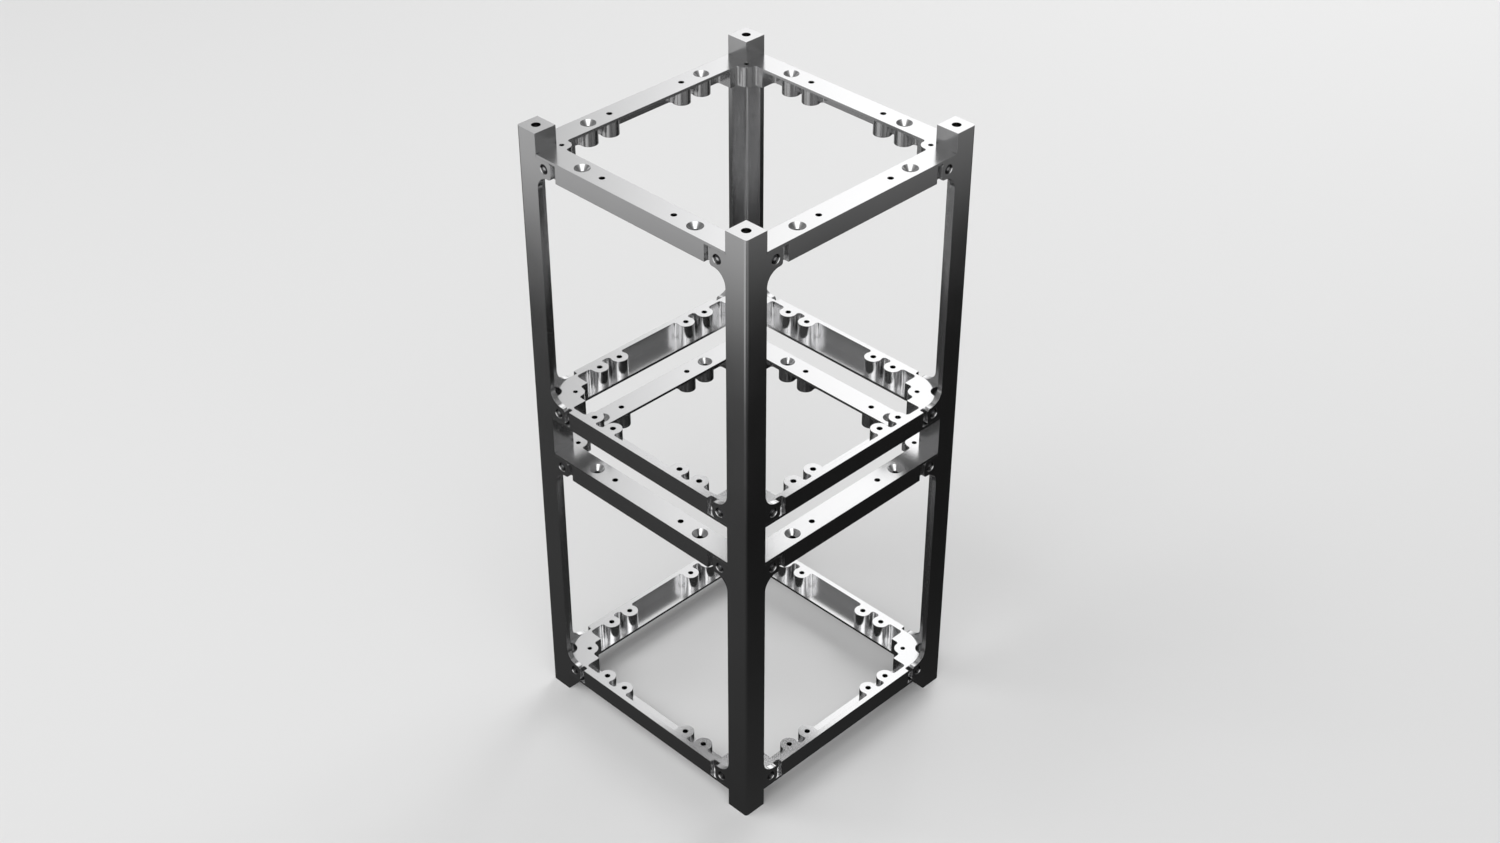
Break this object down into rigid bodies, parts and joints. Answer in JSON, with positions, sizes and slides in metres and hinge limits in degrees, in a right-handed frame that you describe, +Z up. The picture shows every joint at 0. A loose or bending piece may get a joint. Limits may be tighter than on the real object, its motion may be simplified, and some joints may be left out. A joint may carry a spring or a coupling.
{
  "type": "cubesat frame",
  "caption": "Open cubesat structure: square corner rails with tabs, screwed to flanged square rings that carry plain and countersunk holes over bosses.",
  "frame": {"origin": "centre of the square footprint, on the plane of the lower rail ends", "axes": "+Z up along the rails, +X to the right side and +Y to the back side"},
  "size_m": [0.1, 0.1, 0.227],
  "materials": {
    "rail_aluminium": "milled, satin, bare",
    "ring_aluminium": "milled, satin, bare",
    "screw_steel": "turned stainless steel"
  },
  "bodies": {
    "root": {"rail_front_left": "rail_aluminium", "rail_front_right": "rail_aluminium", "rail_back_right": "rail_aluminium", "rail_back_left": "rail_aluminium", "lower_bay_bottom_ring": "ring_aluminium", "lower_bay_top_ring": "ring_aluminium", "upper_bay_bottom_ring": "ring_aluminium", "upper_bay_top_ring": "ring_aluminium", "lower_bay_bottom_screws_front_left": "screw_steel", "lower_bay_bottom_screws_front_right": "screw_steel", "lower_bay_bottom_screws_back_right": "screw_steel", "lower_bay_bottom_screws_back_left": "screw_steel", "lower_bay_top_screws_front_left": "screw_steel", "lower_bay_top_screws_front_right": "screw_steel", "lower_bay_top_screws_back_right": "screw_steel", "lower_bay_top_screws_back_left": "screw_steel", "upper_bay_bottom_screws_front_left": "screw_steel", "upper_bay_bottom_screws_front_right": "screw_steel", "upper_bay_bottom_screws_back_right": "screw_steel", "upper_bay_bottom_screws_back_left": "screw_steel", "upper_bay_top_screws_front_left": "screw_steel", "upper_bay_top_screws_front_right": "screw_steel", "upper_bay_top_screws_back_right": "screw_steel", "upper_bay_top_screws_back_left": "screw_steel"}
  },
  "joints": []
}
